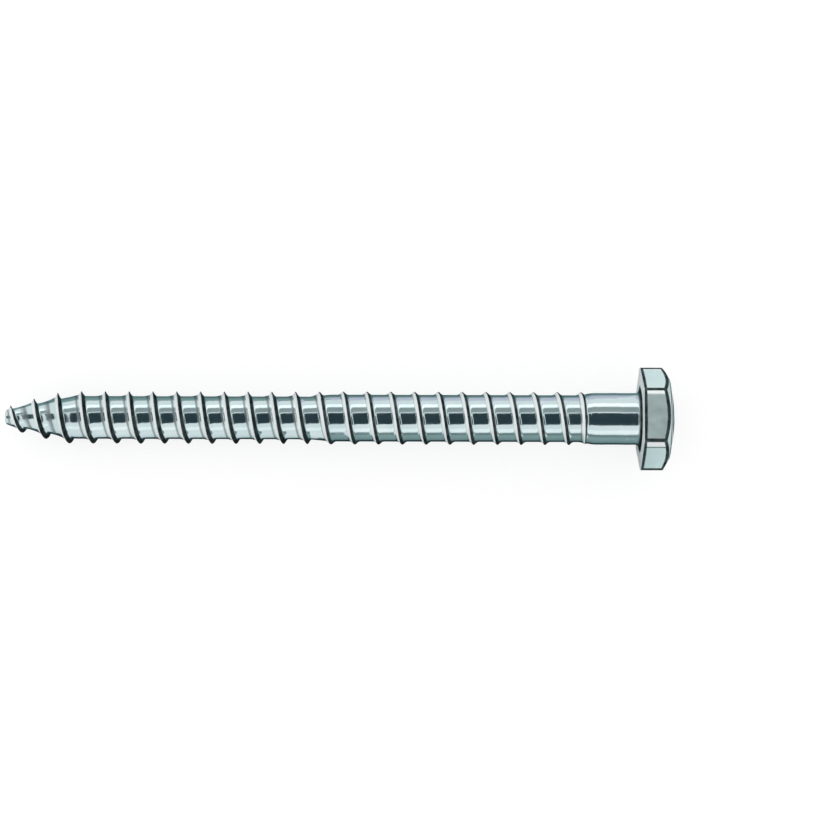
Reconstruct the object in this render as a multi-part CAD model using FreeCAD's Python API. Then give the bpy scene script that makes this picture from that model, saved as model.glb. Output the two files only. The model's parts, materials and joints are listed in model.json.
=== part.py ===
import FreeCAD, Part
import math
import os
from FreeCAD import Vector

# Sizes in millimetres. The screw's own axis is X: the bearing face under the head is at x = 0,
# the head is on the +X side and the point on the -X side.

LENGTH = 120.0               # from the bearing face to the end of the point
PITCH = 4.5                  # advance of the thread in one turn
THREAD_DIAMETER = 10.0       # over the crests
SHANK_UNDERSIZE = 0.2        # thread diameter less the plain shank's
SHANK_LENGTH = 8.9           # plain part, from the bearing face
SHANK_CONE_LENGTH = 2.35     # from the shank down to the core

UPPER_THREAD_DEPTH = 0.565   # crest above the core in the half near the head
LOWER_THREAD_DEPTH = 0.95    # the same in the half near the point, where the core is thinner
CORE_STEP_AT = 58.5          # from the bearing face to where the core starts to narrow
CORE_STEP_LENGTH = 4.0

POINT_LENGTH = 13.0          # tapering end of the core
POINT_END_DIAMETER = 2.76    # of the core where the taper ends
POINT_END_ROUNDING = 0.55
CREST_TAPER_LENGTH = 10.9    # part of the point over which the crests come in
CREST_END_DIAMETER = 4.4     # over the crests at the end of the point

ACROSS_FLATS = 17.0
HEAD_HEIGHT = 6.55           # to the top of the dome
DOME_RISE = 1.1              # from the circle where the chamfer starts to the top of the dome
CHAMFER_INSET = 0.8          # from that circle out to the nearest point of a flat
CHAMFER_ANGLE = 30.0         # degrees
HEAD_FILLET = 0.95           # between the shank and the bearing face

CREST_LAND = 0.18            # width of the flat on top of the ridge
UPPER_FLANK = 0.68           # half of the ridge's width at its foot, near the head
LOWER_FLANK = 0.55           # centre to foot on the side facing the head, near the point
LOWER_RAMP = 1.15            # the same on the side facing the point, a long hollow ramp
RAMP_BEND_AT = 0.37          # where the ramp steepens, as a share of its length from the crest
RAMP_BEND_DEPTH = 0.33       # and as a share of the ridge's height from the core

RUN_OUT_ADVANCE = 1.0        # how far the fading end of the thread still creeps toward the head
RUN_OUT_START = 70.0         # degrees past the last full crest where the ridge starts to fade
RUN_OUT_END = 290.0          # degrees past it where the ridge is gone
RUN_IN_GAP = 0.4             # from the end of the point to the thread's start
RUN_IN_ANGLE = 56.0          # degrees over which the ridge rises there
RUN_IN_SINK = 0.5            # depth of its start below the surface
RUN_IN_WIDTH = 0.25          # width of the ridge at the end of the point, as a share of the full
WIDENING_LENGTH = 3.5        # from the end of the point to where the ridge has its full width
EMBED = 0.3                  # depth of the ridge's feet below the core's surface
POINTS_PER_TURN = 16

crest_radius = THREAD_DIAMETER / 2
shank_radius = crest_radius - SHANK_UNDERSIZE / 2
upper_core_radius = crest_radius - UPPER_THREAD_DEPTH
lower_core_radius = crest_radius - LOWER_THREAD_DEPTH
point_end_radius = POINT_END_DIAMETER / 2
point_slope = (lower_core_radius - point_end_radius) / POINT_LENGTH
chamfer_circle_radius = ACROSS_FLATS / 2 - CHAMFER_INSET
corner_radius = ACROSS_FLATS / 2 / math.cos(math.radians(30))
first_crest = SHANK_LENGTH + SHANK_CONE_LENGTH
thread_start = -(LENGTH - RUN_IN_GAP - first_crest) / PITCH
thread_end = RUN_OUT_END / 360

CORE_OUTLINE = [
    (-LENGTH, point_end_radius),
    (-LENGTH + POINT_LENGTH, lower_core_radius),
    (-CORE_STEP_AT - CORE_STEP_LENGTH, lower_core_radius),
    (-CORE_STEP_AT, upper_core_radius),
    (-SHANK_LENGTH - SHANK_CONE_LENGTH, upper_core_radius),
    (-SHANK_LENGTH, shank_radius),
    (0.0, shank_radius),
]


def between(low, high, share):
    return low + (high - low) * share


def blend(value, start, end):
    """0 before start, 1 after end and a smooth rise between them."""
    share = min(max((value - start) / (end - start), 0.0), 1.0)
    return share * share * (3 - 2 * share)


def core_radius(x):
    """Radius of shank, core and point at x, without the roundings."""
    for (x0, r0), (x1, r1) in zip(CORE_OUTLINE, CORE_OUTLINE[1:]):
        if x <= x1:
            return between(r0, r1, max(x - x0, 0) / (x1 - x0))
    return shank_radius


def crest_position(turn):
    """x of the ridge's centre. Turn 0 is the last full crest, on the +Y side; the point's are below."""
    if turn <= 0:
        return -first_crest + PITCH * turn
    return -first_crest + RUN_OUT_ADVANCE * (1 - math.exp(-PITCH * turn / RUN_OUT_ADVANCE))


def crest_at(turn):
    """Radius of the crest: it comes in along the point and sinks into the core at both ends."""
    x = crest_position(turn)
    taper = max(-LENGTH + CREST_TAPER_LENGTH - x, 0) / CREST_TAPER_LENGTH
    radius = between(crest_radius, CREST_END_DIAMETER / 2, taper)
    run_in = blend(turn, thread_start, thread_start + RUN_IN_ANGLE / 360)
    radius = between(point_end_radius, radius, run_in)
    run_out = blend(turn, RUN_OUT_START / 360, thread_end)
    return between(radius, core_radius(x) - EMBED / 2, run_out)


def ridge_section(turn):
    """Four corners (x, radius): foot, bend or crest edge on the point's side, crest edge, foot."""
    centre = crest_position(turn)
    crest = crest_at(turn)
    upper = blend(centre, -CORE_STEP_AT - CORE_STEP_LENGTH, -CORE_STEP_AT)
    width = between(RUN_IN_WIDTH, 1.0, blend(centre, -LENGTH, -LENGTH + WIDENING_LENGTH))
    ramp = between(LOWER_RAMP, UPPER_FLANK, upper) * width
    flank = between(LOWER_FLANK, UPPER_FLANK, upper) * width
    land = CREST_LAND / 2 * width
    bend = between(RAMP_BEND_AT * ramp, land, upper)
    bend_share = between(RAMP_BEND_DEPTH, 1.0, upper)
    bend_radius = between(core_radius(centre - bend), crest, bend_share)
    # each foot carries its flank's line on to a little below the core's surface
    depth = EMBED * width
    full_depth = between(LOWER_THREAD_DEPTH, UPPER_THREAD_DEPTH, upper)
    point_foot = centre - ramp - (ramp - bend) * depth / (bend_share * full_depth)
    head_foot = centre + flank + (flank - land) * depth / full_depth
    sink = RUN_IN_SINK * (1 - blend(turn, thread_start, thread_start + RUN_IN_ANGLE / 360))
    corners = [
        (point_foot, core_radius(point_foot) - depth),
        (centre - bend, bend_radius),
        (centre + land * upper, crest),
        (head_foot, core_radius(head_foot) - depth),
    ]
    return [(x, radius - sink) for x, radius in corners]


def on_helix(turn, x, radius):
    angle = 2 * math.pi * turn
    return Vector(x, radius * math.cos(angle), radius * math.sin(angle))


def ridge():
    """The thread's ridge as one solid of ruled strips, a turn at a time."""
    whole_turns = list(range(math.ceil(thread_start + 0.5), 1))
    stops = [thread_start] + whole_turns + [thread_end]
    faces = []
    for first, last in zip(stops, stops[1:]):
        steps = math.ceil((last - first) * POINTS_PER_TURN)
        turns = [between(first, last, i / steps) for i in range(steps + 1)]
        sections = [ridge_section(turn) for turn in turns]
        edges = []
        for corner in range(4):
            curve = Part.BSplineCurve()
            curve.interpolate([on_helix(t, *s[corner]) for t, s in zip(turns, sections)])
            edges.append(curve.toShape())
        # 1 joins both edges in the way they run, where the default can twist a full turn's strip
        for lower, upper in zip(edges, edges[1:] + edges[:1]):
            faces.append(Part.makeRuledSurface(lower, upper, 1))
    for turn in (stops[0], stops[-1]):
        corners = [on_helix(turn, *corner) for corner in ridge_section(turn)]
        faces.append(Part.Face(Part.makePolygon(corners + corners[:1])))
    shell = Part.makeShell(faces)
    shell.sewShape(1e-4)
    solid = Part.makeSolid(shell)
    if solid.Volume < 0:
        solid.reverse()
    return solid


def turned(edges):
    """A solid of revolution about the X axis from the closed outline in the XY plane."""
    return Part.Face(Part.Wire(edges)).revolve(Vector(0, 0, 0), Vector(1, 0, 0), 360)


def lines(points):
    """Straight edges through points (x, y) in the XY plane."""
    places = [Vector(x, y, 0) for x, y in points]
    return [Part.makeLine(a, b) for a, b in zip(places, places[1:])]


def spline_line(start, end):
    """A straight edge as a spline. Turned, it cuts the flats in splines instead of hyperbolas."""
    return Part.LineSegment(Vector(*start, 0), Vector(*end, 0)).toBSpline().toShape()


def arc(start, middle, end):
    return Part.Arc(Vector(*start, 0), Vector(*middle, 0), Vector(*end, 0))


def spline_arc(start, middle, end):
    """An arc as a spline. Turned, a small rounding takes a third of a torus's facets."""
    return arc(start, middle, end).toBSpline().toShape()


def core():
    """Shank, core and point as one turned solid, with the fillet under the head."""
    # the rounding of the point's end touches its flat and its side
    slope = math.atan(point_slope)
    along = POINT_END_ROUNDING * math.tan((math.pi / 2 - slope) / 2)
    flat_edge = (-LENGTH, point_end_radius - along)
    side = (-LENGTH + along * math.cos(slope), point_end_radius + along * math.sin(slope))
    halfway = math.pi / 4 + slope / 2
    rounding_top = (
        -LENGTH + POINT_END_ROUNDING * (1 - math.sin(halfway)),
        flat_edge[1] + POINT_END_ROUNDING * math.cos(halfway),
    )
    fillet_start = (-HEAD_FILLET, shank_radius)
    fillet_end = (0.0, shank_radius + HEAD_FILLET)
    quarter = HEAD_FILLET * (1 - math.sqrt(0.5))
    inside_head = (HEAD_HEIGHT - DOME_RISE) / 2
    edges = lines([(-LENGTH, 0.0), flat_edge])
    edges.append(spline_arc(flat_edge, rounding_top, side))
    edges += lines([side] + CORE_OUTLINE[1:-1] + [fillet_start])
    edges.append(spline_arc(fillet_start, (-quarter, shank_radius + quarter), fillet_end))
    edges += lines([fillet_end, (inside_head, fillet_end[1]), (inside_head, 0.0), (-LENGTH, 0.0)])
    return turned(edges)


def head():
    """Hexagon head with one pair of flats level, its end chamfered and domed."""
    corners = []
    for i in range(7):
        angle = math.radians(60 * i)
        corners.append(Vector(0, corner_radius * math.cos(angle), corner_radius * math.sin(angle)))
    prism = Part.Face(Part.makePolygon(corners)).extrude(Vector(HEAD_HEIGHT, 0, 0))
    # the turned envelope reaches past the prism's corners and below its bearing face
    margin = 1.0
    outside = corner_radius + margin
    rim = (HEAD_HEIGHT - DOME_RISE, chamfer_circle_radius)
    drop = (outside - chamfer_circle_radius) * math.tan(math.radians(CHAMFER_ANGLE))
    dome_radius = (chamfer_circle_radius ** 2 + DOME_RISE ** 2) / (2 * DOME_RISE)
    half = math.asin(chamfer_circle_radius / dome_radius) / 2
    halfway = (HEAD_HEIGHT - dome_radius * (1 - math.cos(half)), dome_radius * math.sin(half))
    top = (HEAD_HEIGHT, 0.0)
    chamfer_end = (rim[0] - drop, outside)
    edges = lines([top, (-margin, 0.0), (-margin, outside), chamfer_end])
    edges.append(spline_line(chamfer_end, rim))
    edges.append(arc(rim, halfway, top).toShape())
    return prism.common(turned(edges))


def resting_tilt():
    """Degrees by which the axis slopes when the head and one crest touch a level floor."""
    slopes = []
    for i in range(math.floor(-thread_start)):
        turn = -i - 0.25
        slopes.append((ACROSS_FLATS / 2 - crest_at(turn)) / -crest_position(turn))
    return math.degrees(math.atan(min(slopes)))


screw = head().fuse(core()).fuse(ridge()).removeSplitter()
solid = screw.Solids[0]
solid.rotate(Vector(0, 0, 0), Vector(0, 1, 0), -resting_tilt())

os.makedirs("parts", exist_ok=True)
solid.exportStep("parts/lag_screw.step")
print("solids", len(screw.Solids), "valid", solid.isValid(), "faces", len(solid.Faces))
print("volume", round(solid.Volume, 2), "tilt", round(resting_tilt(), 4))
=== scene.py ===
import json
import math

import bmesh
import bpy
from mathutils import Matrix, Vector, noise


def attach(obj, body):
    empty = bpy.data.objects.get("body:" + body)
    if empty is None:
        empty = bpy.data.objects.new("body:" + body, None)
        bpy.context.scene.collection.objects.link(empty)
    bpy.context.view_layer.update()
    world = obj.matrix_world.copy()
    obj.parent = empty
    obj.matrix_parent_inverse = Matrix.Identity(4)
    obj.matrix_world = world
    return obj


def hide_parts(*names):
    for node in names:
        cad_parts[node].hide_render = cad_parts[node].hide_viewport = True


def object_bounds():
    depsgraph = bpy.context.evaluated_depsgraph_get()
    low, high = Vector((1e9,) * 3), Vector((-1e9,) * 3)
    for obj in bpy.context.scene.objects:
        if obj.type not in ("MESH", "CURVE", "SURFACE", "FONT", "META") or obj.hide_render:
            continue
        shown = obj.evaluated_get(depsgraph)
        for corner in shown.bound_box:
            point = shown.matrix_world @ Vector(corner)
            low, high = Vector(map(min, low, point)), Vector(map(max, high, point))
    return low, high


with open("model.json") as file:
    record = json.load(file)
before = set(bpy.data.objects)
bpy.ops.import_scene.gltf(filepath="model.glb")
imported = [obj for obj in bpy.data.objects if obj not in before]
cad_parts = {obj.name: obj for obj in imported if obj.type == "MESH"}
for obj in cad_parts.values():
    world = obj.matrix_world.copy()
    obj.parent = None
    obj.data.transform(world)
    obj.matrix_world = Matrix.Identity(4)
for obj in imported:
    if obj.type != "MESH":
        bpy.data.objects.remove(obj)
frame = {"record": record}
cad_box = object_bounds()

# Sizes in millimetres on the screw's own axis, as in the part: the bearing face is at x = 0,
# the head on the +X side and the point on the -X side. Angles run from +Y toward +Z.
MM = 0.001                   # millimetres to the frame's metres
mounts = {mount["name"]: mount for mount in frame["record"]["mounts"]}
axis_to_point = mounts["bearing_face"]["axis"]
TILT = math.atan2(-axis_to_point[2], -axis_to_point[0])   # the screw rests on its head and point
FLOOR_Z = cad_box[0][2]

LENGTH = 120.0               # from the bearing face to the end of the point
PITCH = 4.5
CREST_RADIUS = 5.0
SHANK_RADIUS = 4.9
UPPER_CORE_RADIUS = 4.435    # in the half near the head
LOWER_CORE_RADIUS = 4.05     # in the half near the point
SHANK_LENGTH = 8.9
FIRST_CREST = 11.25          # from the bearing face to the last full crest, on the +Y side
CORE_STEP_AT = 58.5          # from the bearing face to where the core starts to narrow
CORE_STEP_LENGTH = 4.0
POINT_LENGTH = 13.0          # tapering end of the core
POINT_END_RADIUS = 1.38
POINT_END_ROUNDING = 0.55
CREST_TAPER_LENGTH = 10.9    # part of the point over which the crests come in
CREST_END_RADIUS = 2.2

CREST_LAND = 0.18            # width of the flat on top of the ridge near the head
UPPER_FLANK = 0.68           # half of the ridge's width at its foot, near the head
LOWER_FLANK = 0.55           # the head's side of the ridge near the point
LOWER_RAMP = 1.15            # the point's side of it, a long hollow ramp
RAMP_BEND_AT = 0.37          # where the ramp steepens, as a share of its length from the crest
RAMP_BEND_DEPTH = 0.33       # and as a share of the ridge's height from the core
RUN_OUT_ADVANCE = 1.0        # how far the fading end of the thread still creeps toward the head
RUN_OUT_TURNS = (70 / 360, 290 / 360)   # past the last full crest, from fading to gone
RUN_IN_GAP = 0.4             # from the end of the point to the thread's start
RUN_IN_TURNS = 56 / 360      # over which the ridge rises there
RUN_IN_SINK = 0.5            # depth of its start below the surface
RUN_IN_WIDTH = 0.25          # its width at the end of the point, as a share of the full
WIDENING_LENGTH = 3.5        # from the end of the point to where the ridge has its full width
EMBED = 0.3                  # depth of the ridge's feet below the core's surface
ROOT_FILLET = 0.34           # where the ridge meets the core
LOWER_FILLET = 0.6           # the same on the head's side, near the point
EDGE_WEAR = 0.05             # half of the width over which the ridge's edges are rounded
CORE_SOFTENING = 0.3         # the same for the bends of the core's outline
CORE_SWELL = 0.010           # height of the unevenness that rolling leaves on the core,
SWELL_LENGTH = 3.1           # its scale along the screw
SWELL_SPREAD = 1.6           # and the radius at which it is read around the screw
HOLLOW_EDGE = 0.04           # the point's end is slightly hollow: depth near its edge,
HOLLOW_RISE = 0.03           # what that loses on the way outward
HOLLOW_MIDDLE = 0.05         # and depth in the middle
END_INSET = 0.005            # keeps the point's end inside the part's box

HALF_SECTOR = math.radians(30)
ACROSS_FLATS = 17.0
HEAD_HEIGHT = 6.55           # to the top of the dome
DOME_RISE = 1.1              # from the circle where the chamfer starts to the top of the dome
CHAMFER_CIRCLE_RADIUS = 7.7
CHAMFER_SLOPE = math.tan(math.radians(30))
HEAD_FILLET = 0.95           # between the shank and the bearing face
CORNER_ROUNDING = 0.4        # of the hexagon's upright edges
LEAST_ROUNDING = 0.05        # of the hexagon where it is drawn in
EDGE_ROUNDING = 0.12         # of the edges round the bearing face and the chamfer
RIM_WIDTH = 0.35             # smooth rim round the rough end of the head
RIM_HEIGHT = 0.07
END_SWELLS = (2.4, 0.10, 3.0)     # size, depth and noise layer of the rough end's low swells
END_PITS = (0.7, 0.05, 8.0)       # and of its small pits

# Painted light runs from 1, a painted highlight in pale metal, to -1, painted shade in near black.
HIGHLIGHT_WIDTH = 0.6             # painted highlight strip on the point's side of the crest
HIGHLIGHT_FADE = 0.1              # over which the strip ends
HIGHLIGHT_RISE = 0.2              # height over the core at which the highlight is fully painted
CREST_LINE = 0.12            # how far the painted shade of the head's side reaches over the crest
UNPAINTED_FOOT = 0.17            # height up to which that side's foot is left without painted shade, near the head
SHADE_RISE = (-0.05, 0.1)     # heights over that between which the painted shade sets in
FOOT_SHADE = 0.6              # how dark the painted shade at the ridge's foot is on the point's side
FOOT_SHADE_NEAR = (0.6, 0.9)  # how near to the foot it sets in, where 1 is on it
FILLET_SHADE = (0.2, 0.5)     # shares of the fillet under the head between which painted shade darkens it
EDGE_SHADE = 0.11             # share of a flat's height painted dark along its ends, as shade
SHADE_STEP = 0.03             # share over which that painted shade ends
BEARING_EDGE_HIGHLIGHT = 0.6              # painted highlight on the edge round the bearing face
CHAMFER_SHADE = -0.1         # painted shade on the chamfer next to the flats
INNER_CHAMFER_SHADE = -0.15         # and next to the ring outside the rim
OUTLINE_RING = 0.4           # width of the painted dark ring outside the rim, as shade
TONE_STEP = 0.08             # over which painted shade gives way to plain metal or a painted highlight beside a corner
STRIP_EDGE = 0.36            # width of the line past a corner's painted highlight strip
# Across each corner of the hexagon, from the one on the +Y side: reach of the painted shade before
# and after it, width of the painted highlight strip past that, and tone of the line past the strip,
# -1 being painted shade.
CORNERS = [
    (0.70, 0.70, 0.10, 0.0),
    (0.34, 0.26, 0.35, 0.0),
    (0.42, 0.26, 1.20, -1.0),
    (0.70, 0.70, 0.10, 0.0),
    (0.34, 0.26, 0.35, 0.0),
    (0.34, 0.26, 0.35, 0.0),
]

COLUMNS = 120                # points in one turn, a multiple of 12
SECTOR = COLUMNS // 6        # of them from one corner of the hexagon to the next
CORNER_COLUMNS = 3           # of them on each side of a corner, over its rounding
# Stations across a ridge, in shares of its flank, and how many more there are between its foot
# and the middle of the root.
RIDGE_STATIONS = [0.07, 0.14, 0.22, 0.37, 0.5, 0.65, 0.78, 0.9, 1.0, 1.12, 1.28, 1.5]
ROOT_STATIONS = 1
STATION_REACH = 0.96         # most of the way to the middle of the root that the first ones take
FILLET_STEPS = 7
DOME_STEPS = 34

thread_start = -(LENGTH - RUN_IN_GAP - FIRST_CREST) / PITCH
point_slope = math.atan((LOWER_CORE_RADIUS - POINT_END_RADIUS) / POINT_LENGTH)
rounding_reach = POINT_END_ROUNDING * math.tan((math.pi / 2 - point_slope) / 2)
dome_radius = (CHAMFER_CIRCLE_RADIUS ** 2 + DOME_RISE ** 2) / (2 * DOME_RISE)

CORE_OUTLINE = [
    (-LENGTH, POINT_END_RADIUS),
    (-LENGTH + POINT_LENGTH, LOWER_CORE_RADIUS),
    (-CORE_STEP_AT - CORE_STEP_LENGTH, LOWER_CORE_RADIUS),
    (-CORE_STEP_AT, UPPER_CORE_RADIUS),
    (-FIRST_CREST, UPPER_CORE_RADIUS),
    (-SHANK_LENGTH, SHANK_RADIUS),
    (0.0, SHANK_RADIUS),
]


def between(low, high, share):
    return low + (high - low) * share


def blend(value, start, end):
    """0 before start, 1 after end and a smooth rise between them."""
    share = min(max((value - start) / (end - start), 0.0), 1.0)
    return share * share * (3 - 2 * share)


def interpolate(outline, x):
    """Height at x of a line through the points (x, height)."""
    for (x0, h0), (x1, h1) in zip(outline, outline[1:]):
        if x <= x1:
            return between(h0, h1, max(x - x0, 0) / max(x1 - x0, 1e-9))
    return outline[-1][1]


def softened(outline, x, reach):
    """The same, with its corners rounded over reach to either side."""
    shares = (-1, -0.5, 0, 0.5, 1)
    return sum(interpolate(outline, x + reach * share) for share in shares) / len(shares)


def filleted(low, high, fillet):
    """The larger of two heights with a fillet where they cross, and how near that crossing is."""
    overlap = max(fillet - abs(low - high), 0) / fillet
    return max(low, high) + overlap * overlap * fillet / 4, overlap


def crest_position(turn):
    """x of the ridge's centre. Turn 0 is the last full crest, and turns fall toward the point."""
    if turn <= 0:
        return -FIRST_CREST + PITCH * turn
    run_out_end = RUN_OUT_TURNS[1]
    creep = RUN_OUT_ADVANCE * (1 - math.exp(-PITCH * min(turn, run_out_end) / RUN_OUT_ADVANCE))
    return -FIRST_CREST + creep + PITCH * max(turn - run_out_end, 0)


def crest_at(turn):
    """Radius of the crest: it comes in along the point and sinks into the core at both ends."""
    x = crest_position(turn)
    taper = max(-LENGTH + CREST_TAPER_LENGTH - x, 0) / CREST_TAPER_LENGTH
    radius = between(CREST_RADIUS, CREST_END_RADIUS, taper)
    run_in = blend(turn, thread_start, thread_start + RUN_IN_TURNS)
    radius = between(POINT_END_RADIUS, radius, run_in)
    return between(radius, interpolate(CORE_OUTLINE, x) - EMBED / 2, blend(turn, *RUN_OUT_TURNS))


class Ridge:
    """The ridge's section at one turn, as offsets from its centre and radii."""

    def __init__(self, turn):
        self.centre = crest_position(turn)
        crest = crest_at(turn)
        upper = blend(self.centre, -CORE_STEP_AT - CORE_STEP_LENGTH, -CORE_STEP_AT)
        widening = blend(self.centre, -LENGTH, -LENGTH + WIDENING_LENGTH)
        width = between(RUN_IN_WIDTH, 1.0, widening)
        self.ramp = between(LOWER_RAMP, UPPER_FLANK, upper) * width
        self.flank = between(LOWER_FLANK, UPPER_FLANK, upper) * width
        land = CREST_LAND / 2 * width * upper
        bend = between(RAMP_BEND_AT * self.ramp, land, upper)
        bend_share = between(RAMP_BEND_DEPTH, 1.0, upper)
        core = interpolate(CORE_OUTLINE, self.centre)
        foot = core - EMBED * width
        depth_share = EMBED * width / between(
            CREST_RADIUS - LOWER_CORE_RADIUS, CREST_RADIUS - UPPER_CORE_RADIUS, upper)
        ramp_reach = self.ramp + (self.ramp - bend) * depth_share / bend_share
        flank_reach = self.flank + (self.flank - land) * depth_share
        sink = RUN_IN_SINK * (1 - blend(turn, thread_start, thread_start + RUN_IN_TURNS))
        if turn < thread_start:
            sink = CREST_RADIUS
        self.crest_to = land
        self.unpainted_foot = between(0.0, UNPAINTED_FOOT, upper)
        self.fillet = between(LOWER_FILLET, ROOT_FILLET, upper)
        self.outline = [
            (-ramp_reach, foot - sink),
            (-bend, between(core, crest, bend_share) - sink),
            (land, crest - sink),
            (flank_reach, foot - sink),
        ]

    def surface_at(self, x):
        """Radius and painted light of the surface at x: a painted highlight above 0, painted shade
        below.
        """
        core = softened(CORE_OUTLINE, x, CORE_SOFTENING)
        offset = x - self.centre
        (foot_x, foot_radius), (next_x, next_radius) = self.outline[:2]
        if offset > 0:
            (foot_x, foot_radius), (next_x, next_radius) = self.outline[:-3:-1]
        if (offset - foot_x) * (next_x - foot_x) < 0:
            # past the foot the flank's line goes on down, so the fillet isn't cut short
            slope = (next_radius - foot_radius) / (next_x - foot_x)
            side = foot_radius + slope * (offset - foot_x)
        else:
            side = softened(self.outline, offset, EDGE_WEAR)
        radius, corner = filleted(core, side, ROOT_FILLET if offset <= 0 else self.fillet)
        # The crest and the head's side of the ridge get painted shade, but not near its foot; the
        # point's side gets a painted highlight strip beside the crest and painted shade at its
        # foot.
        if offset > -CREST_LINE:
            return radius, -blend(side - core - self.unpainted_foot, *SHADE_RISE)
        strip_end = -self.crest_to - HIGHLIGHT_WIDTH
        painted_highlight = blend(offset, strip_end - HIGHLIGHT_FADE, strip_end)
        painted_shade = FOOT_SHADE * blend(corner, *FOOT_SHADE_NEAR) * (1 - painted_highlight)
        return radius, painted_highlight * blend(side - core, 0.0, HIGHLIGHT_RISE) - painted_shade


class Surface:
    """Points in millimetres on the screw's own axis, their painted light values and the faces
    between them.
    """

    def __init__(self):
        self.points = []
        self.painted_light_values = []
        self.faces = []

    def add(self, x, radius, angle, painted_light=0.0):
        self.points.append((x, radius * math.cos(angle), radius * math.sin(angle)))
        self.painted_light_values.append(painted_light)
        return len(self.points) - 1

    def face(self, *corners):
        kept = [c for i, c in enumerate(corners) if c not in corners[:i]]
        if len(kept) > 2:
            self.faces.append(kept)

    def ring(self, outline, angle_of, painted_light_of=lambda column: 0.0):
        """One point a column, at (x, radius) = outline(angle)."""
        made = []
        for column in range(COLUMNS):
            angle = angle_of(column)
            made.append(self.add(*outline(angle), angle, painted_light_of(column)))
        return made

    def join(self, first, second):
        for i in range(COLUMNS):
            j = (i + 1) % COLUMNS
            self.face(first[i], first[j], second[j], second[i])

    def cap(self, ring, x):
        middle = self.add(x, 0.0, 0.0)
        for i in range(COLUMNS):
            self.face(ring[i], ring[(i + 1) % COLUMNS], middle)


def rolled(x, angle):
    """Slight unevenness that rolling leaves on the core."""
    y, z = SWELL_SPREAD * math.cos(angle), SWELL_SPREAD * math.sin(angle)
    return CORE_SWELL * noise.noise(Vector((x / SWELL_LENGTH, y, z)))


def column_angle(column):
    return 2 * math.pi * column / COLUMNS


def thread_stations(turn):
    """The ridge at this turn, and x of the points from the middle of one root to the next."""
    ridge = Ridge(turn)
    low = (crest_position(turn - 1) + ridge.centre) / 2
    high = (ridge.centre + crest_position(turn + 1)) / 2
    ramp_reach = min(ridge.ramp, (ridge.centre - low) / RIDGE_STATIONS[-1] * STATION_REACH)
    flank_reach = min(ridge.flank, (high - ridge.centre) / RIDGE_STATIONS[-1] * STATION_REACH)
    below = [ridge.centre - ramp_reach * share for share in reversed(RIDGE_STATIONS)]
    above = [ridge.centre + flank_reach * share for share in RIDGE_STATIONS]
    rises = [i / (ROOT_STATIONS + 1) for i in range(ROOT_STATIONS + 1)]
    to_ridge = [between(low, below[0], share) for share in rises]
    to_next = [between(high, above[-1], share) for share in reversed(rises[1:])]
    return ridge, to_ridge + below + [ridge.centre] + above + to_next


def thread(surface, tip_ring, head_ring, tip_x, head_x):
    """Shank, thread and point as one strip a pitch wide, wound round and round: each pass joins
    the last one, and points past either end come together on that end's ring."""
    first = math.floor(thread_start - 1.5) * COLUMNS
    passes = {}
    index = first
    while True:
        turn = index / COLUMNS
        ridge, stations = thread_stations(turn)
        angle = column_angle(index % COLUMNS)
        row = []
        for x in stations:
            if x <= tip_x:
                row.append(tip_ring[index % COLUMNS])
            elif x >= head_x:
                row.append(head_ring[index % COLUMNS])
            else:
                radius, painted_light = ridge.surface_at(x)
                row.append(surface.add(x, radius + rolled(x, angle), angle, painted_light))
        passes[index] = row
        if stations[0] >= head_x:
            break
        index += 1
    for i in range(first, index):
        here, after = passes[i], passes[i + 1]
        # the strip's upper edge is the next pass's lower one
        if i + COLUMNS in passes:
            here = here + [passes[i + COLUMNS][0]]
        else:
            here = here + [head_ring[i % COLUMNS]]
        if i + 1 + COLUMNS in passes:
            after = after + [passes[i + 1 + COLUMNS][0]]
        else:
            after = after + [head_ring[(i + 1) % COLUMNS]]
        for a, b, c, d in zip(here, after, after[1:], here[1:]):
            surface.face(a, b, c, d)


def rounding_angle():
    """Angle from a corner of the hexagon to the end of its rounding."""
    across = ACROSS_FLATS / 2
    middle = (across - CORNER_ROUNDING) / math.cos(HALF_SECTOR)
    return math.atan2(
        CORNER_ROUNDING * math.sin(HALF_SECTOR), middle + CORNER_ROUNDING * math.cos(HALF_SECTOR))


def from_corner(column):
    """How many columns this one is past the nearest corner of the hexagon."""
    return (column + SECTOR // 2) % SECTOR - SECTOR // 2


def corner_stops(column):
    """(distance in millimetres, painted light) of the columns past the rounding of this one's
    corner: painted shade, and on one side a painted highlight strip.
    """
    step = from_corner(column)
    before, after, painted_highlight, line = CORNERS[(column - step) // SECTOR % 6]
    if step < 0:
        return [(before, -1.0), (before + TONE_STEP, 0.0)]
    strip = after + TONE_STEP
    return [(after, -1.0), (strip, 1.0), (strip + painted_highlight, 1.0),
            (strip + painted_highlight + STRIP_EDGE, line), (strip + painted_highlight + 2 * STRIP_EDGE, 0.0)]


def head_angle(column):
    """Angle of a column on the head, where a few columns stand close together at each corner."""
    step = from_corner(column)
    corner = (column - step) / SECTOR * 2 * HALF_SECTOR
    corner_distance = ACROSS_FLATS / 2 / math.cos(HALF_SECTOR)
    stops = corner_stops(column)
    past_rounding = abs(step) - CORNER_COLUMNS
    if past_rounding <= 0:
        offset = rounding_angle() * abs(step) / CORNER_COLUMNS
    elif past_rounding <= len(stops):
        offset = stops[past_rounding - 1][0] / corner_distance
    else:
        share = (past_rounding - len(stops)) / (SECTOR // 2 - CORNER_COLUMNS - len(stops))
        offset = between(stops[-1][0] / corner_distance, HALF_SECTOR, share)
    return corner + math.copysign(offset, step)


def corner_painted_light(column):
    """Painted shade or highlight that the nearest corner gives a column of the flats."""
    past_rounding = abs(from_corner(column)) - CORNER_COLUMNS
    stops = corner_stops(column)
    if past_rounding <= 0:
        return -1.0
    return stops[past_rounding - 1][1] if past_rounding <= len(stops) else 0.0


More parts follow.
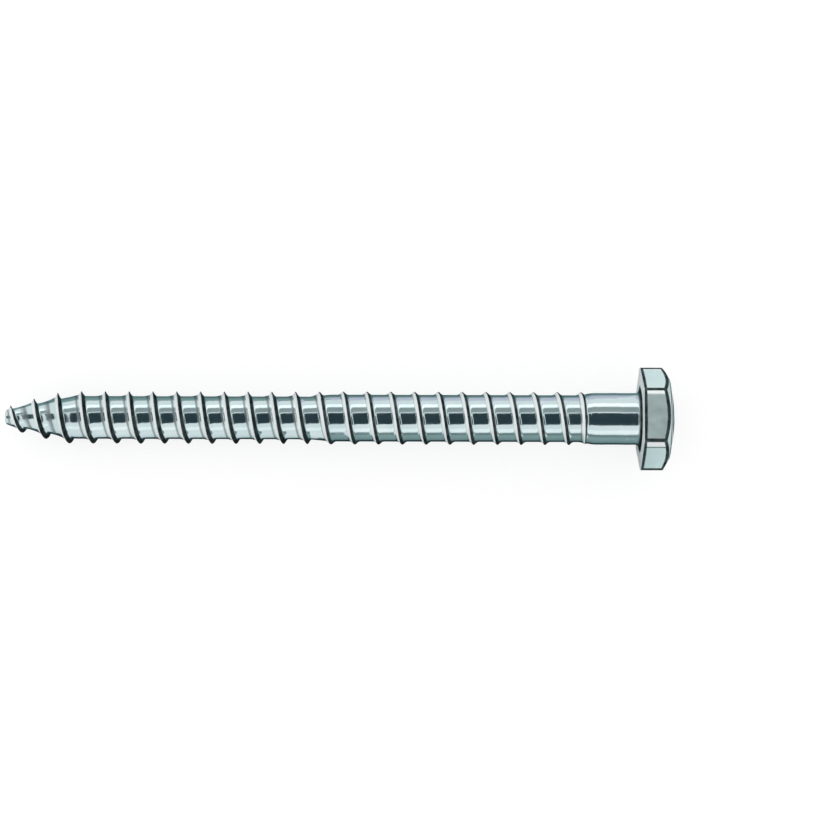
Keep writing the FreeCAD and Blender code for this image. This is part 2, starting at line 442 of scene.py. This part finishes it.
def hexagon_radius(angle, inset=0.0):
    """Distance from the axis to the hexagon's outline, drawn in by inset."""
    across = ACROSS_FLATS / 2 - inset
    rounding = max(CORNER_ROUNDING - inset / 2, LEAST_ROUNDING)
    offset = abs((angle + HALF_SECTOR) % (2 * HALF_SECTOR) - HALF_SECTOR)
    middle = (across - rounding) / math.cos(HALF_SECTOR)
    near = math.atan2(rounding * math.sin(HALF_SECTOR), middle + rounding * math.cos(HALF_SECTOR))
    if offset < near:
        beside = middle * math.sin(offset)
        return middle * math.cos(offset) + math.sqrt(rounding ** 2 - beside ** 2)
    return across / math.cos(HALF_SECTOR - offset)


def chamfer_height(radius):
    """x of the chamfer at this distance from the axis."""
    return HEAD_HEIGHT - DOME_RISE - (radius - CHAMFER_CIRCLE_RADIUS) * CHAMFER_SLOPE


def dome_height(radius):
    """x of the domed end, without its unevenness, at this distance from the axis."""
    return HEAD_HEIGHT - dome_radius + math.sqrt(dome_radius ** 2 - radius ** 2)


def forged(radius, angle):
    """Depth of the uneven surface inside the rim: low swells and small pits."""
    y, z = radius * math.cos(angle), radius * math.sin(angle)
    rim_inside = CHAMFER_CIRCLE_RADIUS - RIM_WIDTH
    depth = RIM_HEIGHT
    for size, most, layer in (END_SWELLS, END_PITS):
        depth += most * (0.5 + 0.5 * noise.noise(Vector((y / size, z / size, layer))))
    return (1 - blend(radius, rim_inside - RIM_WIDTH, rim_inside)) * depth


def head(surface, fillet_ring):
    """From the fillet under the head round to the middle of the dome."""
    last = fillet_ring
    for i in range(1, FILLET_STEPS + 1):
        turned = math.pi / 2 * i / FILLET_STEPS
        x = -HEAD_FILLET * (1 - math.sin(turned))
        radius = SHANK_RADIUS + HEAD_FILLET * (1 - math.cos(turned))
        # painted shade, darkening the fillet toward the bearing face
        painted_shade = -blend(i / FILLET_STEPS, *FILLET_SHADE)
        ring = surface.ring(lambda angle: (x, radius), column_angle, lambda column: painted_shade)
        surface.join(last, ring)
        last = ring

    def outline(x_of, radius_of, painted_light, corners=0.0):
        """The next ring. The corners' own painted shade and highlights take the share corners of
        it.
        """
        nonlocal last

        def painted_light_of(column):
            return between(painted_light, corner_painted_light(column), corners)

        ring = surface.ring(lambda angle: (x_of(angle), radius_of(angle)), head_angle, painted_light_of)
        surface.join(last, ring)
        last = ring

    # the bearing face, with painted shade where it meets the fillet and a painted highlight on the
    # rest, then the edge round it, with a paler painted highlight
    fillet_end = SHANK_RADIUS + HEAD_FILLET
    for share, painted_light in ((0.04, -1.0), (0.2, 1.0), (0.5, 1.0), (0.97, 1.0)):
        outline(lambda angle: 0.0,
                lambda angle: between(fillet_end, hexagon_radius(angle, EDGE_ROUNDING), share),
                painted_light)
    for i in range(4):
        turned = math.pi / 2 * i / 3
        outline(lambda angle: EDGE_ROUNDING * (1 - math.cos(turned)),
                lambda angle: hexagon_radius(angle, EDGE_ROUNDING * (1 - math.sin(turned))),
                BEARING_EDGE_HIGHLIGHT)
    # the flats, up to the curved edge of the chamfer, with painted shade along their ends and the
    # corners' painted shade and highlights
    for rise, painted_light in ((0.01, -1.0), (EDGE_SHADE, -1.0), (EDGE_SHADE + SHADE_STEP, 0.0),
                       (1 / 3, 0.0), (2 / 3, 0.0),
                       (1 - EDGE_SHADE, 0.0), (1 - EDGE_SHADE + SHADE_STEP, -1.0)):
        def flat_height(angle):
            top = chamfer_height(hexagon_radius(angle)) - EDGE_ROUNDING
            return between(EDGE_ROUNDING, top, rise)
        outline(flat_height, hexagon_radius, painted_light, 1.0 + painted_light)
    # painted shade on the rounded edge from the flats to the chamfer
    outline(lambda angle: chamfer_height(hexagon_radius(angle)) - 1.3 * EDGE_ROUNDING,
            hexagon_radius, -1.0)
    for i in range(5):
        share = i / 4
        drop = EDGE_ROUNDING * (1 - share) ** 2
        inset = EDGE_ROUNDING * share ** 2
        outline(lambda angle: chamfer_height(hexagon_radius(angle) - inset) - drop,
                lambda angle: hexagon_radius(angle) - inset, -1.0)
    # the chamfer with painted shade, the painted dark ring at its inner edge and the start of the
    # rim
    ring_radius = CHAMFER_CIRCLE_RADIUS + OUTLINE_RING
    for share, painted_light in ((0.06, -1.0), (0.12, CHAMFER_SHADE), (0.92, INNER_CHAMFER_SHADE), (1.0, -1.0)):
        def chamfer_radius(angle):
            return between(hexagon_radius(angle) - EDGE_ROUNDING, ring_radius, share)
        outline(lambda angle: chamfer_height(chamfer_radius(angle)), chamfer_radius, painted_light)
    for share, painted_light in ((0.3, -1.0), (0.1, 1.0)):
        radius = between(CHAMFER_CIRCLE_RADIUS, ring_radius, share)
        outline(lambda angle: chamfer_height(radius), lambda angle: radius, painted_light)
    # the rim, with a painted highlight, and the rough dome inside it
    for i in range(DOME_STEPS):
        radius = CHAMFER_CIRCLE_RADIUS * (1 - i / DOME_STEPS)
        outline(lambda angle: dome_height(radius) - forged(radius, angle), lambda angle: radius,
                1.0 if radius > CHAMFER_CIRCLE_RADIUS - RIM_WIDTH else 0.0)
    surface.cap(last, HEAD_HEIGHT - forged(0.0, 0.0))


def point_end(surface):
    """Rounded, slightly hollow end of the point. Gives the ring where its side begins."""
    centre_x = -LENGTH + POINT_END_ROUNDING
    flat_radius = POINT_END_RADIUS - rounding_reach
    rings = []
    for share in (0.3, 0.65, 0.95):
        x = -LENGTH + HOLLOW_EDGE - HOLLOW_RISE * share
        rings.append(surface.ring(lambda angle: (x, flat_radius * share), column_angle))
    steps = 6
    for i in range(steps + 1):
        turned = between(math.pi / 2, point_slope, i / steps)
        x = END_INSET + centre_x - POINT_END_ROUNDING * math.sin(turned)
        radius = flat_radius + POINT_END_ROUNDING * math.cos(turned)
        rings.append(surface.ring(lambda angle: (x, radius), column_angle))
    for first, second in zip(rings, rings[1:]):
        surface.join(first, second)
    surface.cap(rings[0], -LENGTH + HOLLOW_MIDDLE)
    return rings[-1], x


def build_screw():
    """The whole screw as one closed mesh, tilted as it lies."""
    surface = Surface()
    tip_ring, tip_x = point_end(surface)
    head_x = -HEAD_FILLET
    head_ring = surface.ring(lambda angle: (head_x, SHANK_RADIUS), column_angle)
    thread(surface, tip_ring, head_ring, tip_x, head_x)
    head(surface, head_ring)
    mesh = bpy.data.meshes.new("screw")
    mesh.from_pydata(surface.points, [], surface.faces)
    painted_light = mesh.attributes.new("painted_light", "FLOAT", "POINT")
    painted_light.data.foreach_set("value", surface.painted_light_values)
    mesh.transform(Matrix.Rotation(-TILT, 4, "Y") @ Matrix.Scale(MM, 4))
    tidy = bmesh.new()
    tidy.from_mesh(mesh)
    loose = [vertex for vertex in tidy.verts if not vertex.link_faces]
    bmesh.ops.delete(tidy, geom=loose, context="VERTS")
    bmesh.ops.recalc_face_normals(tidy, faces=tidy.faces)
    tidy.to_mesh(mesh)
    tidy.free()
    mesh.shade_smooth()
    screw = bpy.data.objects.new("screw", mesh)
    bpy.context.scene.collection.objects.link(screw)
    return screw


# Colours of the plating: of the rolled parts and the head, each where it is clear and where it is
# clouded, then of the painted highlight and the painted shade, and pitted on the head's end.
ROLLED_COLOURS = ((0.64, 0.75, 0.76), (0.56, 0.68, 0.70))
HEAD_COLOURS = ((0.84, 0.97, 0.96), (0.78, 0.92, 0.92))
PAINTED_HIGHLIGHT_COLOUR = (0.96, 1.0, 1.0)
PAINTED_SHADE_COLOUR = (0.012, 0.022, 0.025)
PITTED_COLOURS = ((0.022, 0.048, 0.056), (0.30, 0.41, 0.42))
SPECK_COLOUR = (0.62, 0.73, 0.74)
GRAZING_TINT = (0.22, 0.33, 0.34)
# roughness where light or shade is painted
PAINTED_MARK_ROUGHNESS = 0.55
GRAIN_HEIGHT = 0.035         # of the fine grain, beside 1 for the pebbles of the end
PAPER_WHITE = 0.32           # of the floor's paper as light finds it
PAPER_GLOW = 0.74            # added to it for what sees the floor directly
ROOM_LIGHT = 0.88


def new_material(name):
    """An empty material and its node tree."""
    material = bpy.data.materials.new(name)
    material.use_nodes = True
    tree = material.node_tree
    tree.nodes.clear()
    return material, tree


def node(tree, kind, **values):
    """A node of this kind, with its properties and inputs set by name."""
    made = tree.nodes.new(kind)
    for name, value in values.items():
        if name in made.inputs:
            made.inputs[name].default_value = value
        else:
            setattr(made, name, value)
    return made


def zinc():
    """Bright zinc plating: bluish, faintly clouded, smooth where rolled and duller on the head.
    Textures are scaled per metre."""
    material, tree = new_material("zinc")
    link = tree.links.new
    output = node(tree, "ShaderNodeOutputMaterial")
    shader = node(tree, "ShaderNodeBsdfPrincipled", Metallic=1.0,
                  **{"Specular Tint": (*GRAZING_TINT, 1.0)})
    link(shader.outputs["BSDF"], output.inputs["Surface"])
    place = node(tree, "ShaderNodeTexCoord")
    split = node(tree, "ShaderNodeSeparateXYZ")
    link(place.outputs["Object"], split.inputs[0])

    def texture(scale, detail, roughness=0.5):
        made = node(tree, "ShaderNodeTexNoise", Scale=scale, Detail=detail, Roughness=roughness)
        link(place.outputs["Object"], made.inputs["Vector"])
        return made.outputs["Fac"]

    def ranged(value, low, high, to_low, to_high):
        made = node(tree, "ShaderNodeMapRange")
        made.inputs["From Min"].default_value = low
        made.inputs["From Max"].default_value = high
        made.inputs["To Min"].default_value = to_low
        made.inputs["To Max"].default_value = to_high
        link(value, made.inputs["Value"])
        return made.outputs["Result"]

    def combined(operation, first, second):
        made = node(tree, "ShaderNodeMath", operation=operation)
        link(first, made.inputs[0])
        link(second, made.inputs[1])
        return made.outputs[0]

    def mixed(share, first, second):
        made = node(tree, "ShaderNodeMix", data_type="RGBA")
        link(share, made.inputs["Factor"])
        for colour, socket in ((first, made.inputs[6]), (second, made.inputs[7])):
            if isinstance(colour, tuple):
                socket.default_value = (*colour, 1.0)
            else:
                link(colour, socket)
        return made.outputs[2]

    # where the surface is: 1 on the head, and 1 on its rough end
    on_head = ranged(split.outputs["X"], -0.3 * MM, 0.3 * MM, 0.0, 1.0)
    radius = node(tree, "ShaderNodeVectorMath", operation="LENGTH")
    across = node(tree, "ShaderNodeCombineXYZ")
    link(split.outputs["Y"], across.inputs["Y"])
    link(split.outputs["Z"], across.inputs["Z"])
    link(across.outputs[0], radius.inputs[0])
    inside_rim = ranged(radius.outputs["Value"], 7.5 * MM, 7.35 * MM, 0.0, 1.0)
    past_bearing_face = ranged(split.outputs["X"], 3.0 * MM, 3.2 * MM, 0.0, 1.0)
    on_end = combined("MULTIPLY", inside_rim, past_bearing_face)

    clouds = ranged(texture(160.0, 4.0), 0.35, 0.65, 0.0, 1.0)
    bright = mixed(on_head, mixed(clouds, *ROLLED_COLOURS), mixed(clouds, *HEAD_COLOURS))
    # painted highlights and painted shade, read from the mesh's painted light values
    painted_light = node(tree, "ShaderNodeAttribute", attribute_name="painted_light").outputs["Fac"]
    painted_highlight = ranged(painted_light, 0.0, 1.0, 0.0, 1.0)
    patchy = ranged(texture(900.0, 3.0), 0.3, 0.7, 0.86, 1.0)
    painted_shade = combined("MULTIPLY", ranged(painted_light, 0.0, -1.0, 0.0, 1.0), patchy)
    plating_and_painted_light = mixed(painted_shade, mixed(painted_highlight, bright, PAINTED_HIGHLIGHT_COLOUR), PAINTED_SHADE_COLOUR)
    pebbles = node(tree, "ShaderNodeTexVoronoi", Scale=1700.0)
    link(place.outputs["Object"], pebbles.inputs["Vector"])
    hollows = combined("MULTIPLY", ranged(texture(2600.0, 4.0), 0.42, 0.62, 0.1, 1.0),
                       ranged(texture(500.0, 2.0), 0.35, 0.65, 0.45, 1.0))
    tops = ranged(pebbles.outputs["Distance"], 0.16, 0.26, 1.0, 0.0)
    specks = combined("MULTIPLY", tops, ranged(texture(900.0, 1.0), 0.50, 0.60, 0.0, 1.0))
    end = mixed(specks, mixed(hollows, *PITTED_COLOURS), SPECK_COLOUR)
    link(mixed(on_end, plating_and_painted_light, end), shader.inputs["Base Color"])

    grain = texture(1900.0, 3.0)
    smooth = ranged(texture(420.0, 3.0), 0.3, 0.7, 0.08, 0.15)
    dull = ranged(texture(700.0, 4.0), 0.3, 0.7, 0.42, 0.56)
    finish = node(tree, "ShaderNodeMix", data_type="FLOAT")
    link(on_head, finish.inputs["Factor"])
    link(smooth, finish.inputs[2])
    link(dull, finish.inputs[3])
    # no metal where the highlight is painted, so it shows as a pale diffuse painted highlight
    link(ranged(painted_highlight, 0.0, 1.0, 1.0, 0.0), shader.inputs["Metallic"])
    # its own roughness where light or shade is painted
    painted_mark_roughness = node(tree, "ShaderNodeMix", data_type="FLOAT")
    painted_mark_roughness.inputs[3].default_value = PAINTED_MARK_ROUGHNESS
    link(combined("MAXIMUM", painted_highlight, painted_shade), painted_mark_roughness.inputs["Factor"])
    link(finish.outputs[0], painted_mark_roughness.inputs[2])
    link(painted_mark_roughness.outputs[0], shader.inputs["Roughness"])

    rough_height = combined("MULTIPLY", pebbles.outputs["Distance"], on_end)
    height = combined("ADD", ranged(grain, 0.0, 1.0, 0.0, GRAIN_HEIGHT), rough_height)
    bump = node(tree, "ShaderNodeBump", Strength=0.8, Distance=0.09 * MM)
    link(height, bump.inputs["Height"])
    link(bump.outputs["Normal"], shader.inputs["Normal"])
    return material


def seen_directly(tree):
    """1 for what the camera sees, by itself and in metal or glass, and 0 for light."""
    rays = node(tree, "ShaderNodeLightPath")
    seen = rays.outputs["Is Camera Ray"]
    for kind in ("Is Glossy Ray", "Is Transmission Ray"):
        either = node(tree, "ShaderNodeMath", operation="MAXIMUM")
        tree.links.new(seen, either.inputs[0])
        tree.links.new(rays.outputs[kind], either.inputs[1])
        seen = either.outputs[0]
    return seen


def floor_paper():
    """White paper that glows a little for what sees it directly, so the shadow on it is pale."""
    material, tree = new_material("floor")
    link = tree.links.new
    output = node(tree, "ShaderNodeOutputMaterial")
    paper = node(tree, "ShaderNodeBsdfDiffuse", Color=(*(PAPER_WHITE,) * 3, 1.0))
    glow = node(tree, "ShaderNodeEmission", Color=(1.0, 1.0, 1.0, 1.0))
    level = node(tree, "ShaderNodeMath", operation="MULTIPLY")
    level.inputs[1].default_value = PAPER_GLOW
    both = node(tree, "ShaderNodeAddShader")
    link(seen_directly(tree), level.inputs[0])
    link(level.outputs[0], glow.inputs["Strength"])
    link(paper.outputs[0], both.inputs[0])
    link(glow.outputs[0], both.inputs[1])
    link(both.outputs[0], output.inputs["Surface"])
    return material


def matt(name, colour):
    """A plain matt material, as of dyed card."""
    material, tree = new_material(name)
    output = node(tree, "ShaderNodeOutputMaterial")
    shader = node(tree, "ShaderNodeBsdfDiffuse", Color=(*colour, 1.0))
    tree.links.new(shader.outputs[0], output.inputs["Surface"])
    return material


# The studio, in millimetres in the frame's directions.
MIDDLE_X = -41.65            # of the photograph's frame, at the height of the bearing face's centre
MIDDLE_Y = -0.45
FRAME_WIDTH = 158.6          # what the frame takes in there
CAMERA_X = -58.0             # on the point's side of the middle, so the bearing face shows
CAMERA_Y = -40.0             # a little to the near side, which shows more of the head's near flat
CAMERA_HEIGHT = 450.0
FRAME_ROLL = math.radians(0.16)   # by which the point stands higher in the frame than the head
SENSOR_WIDTH = 36.0
FLOOR_SIZE = 4000.0
CARD_DISTANCE = 1200.0
CARD_CLEARANCE = 0.2         # of the low cards over the floor
SOFTBOX_DISTANCE = 420.0
SOFTBOX_LENGTH = 700.0
DARK = (0.080, 0.135, 0.160)
TEAL = (0.36, 0.47, 0.47)
GREY = (0.80, 0.89, 0.89)
LILAC = (0.84, 0.80, 0.92)


def aim(thing, target, along=(1, 0, 0), roll=0.0):
    """Turns thing's -Z axis to target, with its X axis as near to along as that lets it."""
    back = (thing.location - target).normalized()
    along = Matrix.Rotation(roll, 3, back) @ Vector(along)
    along = (along - back * along.dot(back)).normalized()
    up = back.cross(along)
    thing.rotation_euler = Matrix((along, up, back)).transposed().to_euler()


def sheet(name, size, material):
    """A flat staging sheet of size (x, y) in millimetres, level and centred on the origin."""
    x, y = size[0] / 2 * MM, size[1] / 2 * MM
    mesh = bpy.data.meshes.new(name)
    mesh.from_pydata([(-x, -y, 0), (x, -y, 0), (x, y, 0), (-x, y, 0)], [], [(0, 1, 2, 3)])
    mesh.materials.append(material)
    thing = bpy.data.objects.new(name, mesh)
    bpy.context.scene.collection.objects.link(thing)
    return thing


def reflected_only(thing):
    """Lets a card shape the reflections only: it isn't seen and doesn't darken the floor."""
    thing.visible_camera = False
    thing.visible_diffuse = False
    thing.visible_shadow = False


def strip_place(angles, distance):
    """Middle and width of a strip along the screw that spans two angles from the zenith."""
    low, high = (math.radians(angle) for angle in angles)
    middle = (low + high) / 2
    centre = (distance * math.sin(middle), distance * math.cos(middle))
    return centre, 2 * distance * math.tan((high - low) / 2)


def card(name, angles, ends, colour):
    """A card high over the screw, between two angles from the zenith toward +Y and two x."""
    (y, z), width = strip_place(angles, CARD_DISTANCE)
    thing = sheet(name, (ends[1] - ends[0], width), matt(name, colour))
    middle = (ends[0] + ends[1]) / 2
    thing.location = Vector((middle, y, z)) * MM
    aim(thing, Vector((middle, 0, 0)) * MM)
    reflected_only(thing)


def low_card(name, x_range, y_range, colour):
    """A level card just over the floor, between two x and two y."""
    thing = sheet(name, (x_range[1] - x_range[0], y_range[1] - y_range[0]), matt(name, colour))
    middle = (sum(x_range) / 2, sum(y_range) / 2, FLOOR_Z / MM + CARD_CLEARANCE)
    thing.location = Vector(middle) * MM
    reflected_only(thing)


def standing_card(name, place, size, colour):
    """An upright card on the floor at (x, y), along the screw, of size (width, height)."""
    thing = sheet(name, size, matt(name, colour))
    thing.location = Vector((place[0], place[1], size[1] / 2 + FLOOR_Z / MM)) * MM
    thing.rotation_euler = (math.pi / 2, 0, 0)
    reflected_only(thing)


def softbox(name, angles, radiance):
    """A strip of light along the screw, between two angles from the zenith toward +Y."""
    (y, z), width = strip_place(angles, SOFTBOX_DISTANCE)
    light = bpy.data.lights.new(name, "AREA")
    light.shape = "RECTANGLE"
    light.size = SOFTBOX_LENGTH * MM
    light.size_y = width * MM
    light.energy = radiance * math.pi * light.size * light.size_y
    lamp = bpy.data.objects.new(name, light)
    bpy.context.scene.collection.objects.link(lamp)
    lamp.location = Vector((MIDDLE_X, y, z)) * MM
    aim(lamp, Vector((MIDDLE_X, 0, 0)) * MM)


def room():
    """A white room for what the camera and the metal see, and a little dimmer as a light."""
    world = bpy.data.worlds.new("room")
    bpy.context.scene.world = world
    world.use_nodes = True
    tree = world.node_tree
    tree.nodes.clear()
    link = tree.links.new
    output = node(tree, "ShaderNodeOutputWorld")
    light = node(tree, "ShaderNodeBackground", Color=(1.0, 1.0, 1.0, 1.0), Strength=ROOM_LIGHT)
    white = node(tree, "ShaderNodeBackground", Color=(1.0, 1.0, 1.0, 1.0), Strength=1.0)
    choice = node(tree, "ShaderNodeMixShader")
    link(seen_directly(tree), choice.inputs["Fac"])
    link(light.outputs[0], choice.inputs[1])
    link(white.outputs[0], choice.inputs[2])
    link(choice.outputs[0], output.inputs["Surface"])


def studio():
    """Room, floor and lights, and the cards whose reflections band the screw lengthwise."""
    room()
    floor = sheet("floor", (FLOOR_SIZE, FLOOR_SIZE), floor_paper())
    floor.location = (MIDDLE_X * MM, 0, FLOOR_Z)
    card("overhead_card", (-35, 20), (-760, 460), DARK)
    card("end_card", (-35, 20), (950, 2600), DARK)
    card("point_card", (-35, 20), (-2600, -1100), DARK)
    card("grey_card", (25, 49), (-1300, 1200), GREY)
    standing_card("near_card", (50, -95), (224, 26), TEAL)
    # Low cards seen only in the metal; all but the lilac one are painted shadow, standing in for
    # the floor's shade beside the screw.
    low_card("near_shadow_card", (-62, 3), (-95, -11), TEAL)
    low_card("near_outer_shadow_card", (3, 16), (-95, -46), TEAL)
    low_card("near_edge_shadow_card", (-62, 1), (-11, -3), DARK)
    low_card("far_edge_shadow_card", (-125, -9), (7, 12), TEAL)
    low_card("far_shadow_card", (-125, 1), (12, 20), TEAL)
    low_card("lilac_card", (-62, 1), (20, 400), LILAC)
    low_card("far_point_shadow_card", (-125, -62), (20, 60), TEAL)
    low_card("near_point_shadow_card", (-125, -62), (-9.5, -3), DARK)
    softbox("far_light", (51, 67), 0.5)
    softbox("near_light", (-76, -58), 0.2)


def camera():
    """Looks down on the lying screw, as the photograph does."""
    data = bpy.data.cameras.new("camera")
    thing = bpy.data.objects.new("camera", data)
    bpy.context.scene.collection.objects.link(thing)
    thing.location = Vector((CAMERA_X, CAMERA_Y, CAMERA_HEIGHT)) * MM
    target = Vector((MIDDLE_X, MIDDLE_Y, 0)) * MM
    aim(thing, target, along=(math.cos(TILT), 0, math.sin(TILT)), roll=FRAME_ROLL)
    data.sensor_width = SENSOR_WIDTH
    data.lens = data.sensor_width * (thing.location - target).length / (FRAME_WIDTH * MM)
    data.clip_start = 0.01
    bpy.context.scene.camera = thing


screw = build_screw()
screw.data.materials.append(zinc())
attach(screw, "root")
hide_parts("lag_screw")

studio()
camera()
bpy.context.scene.view_settings.view_transform = "Standard"
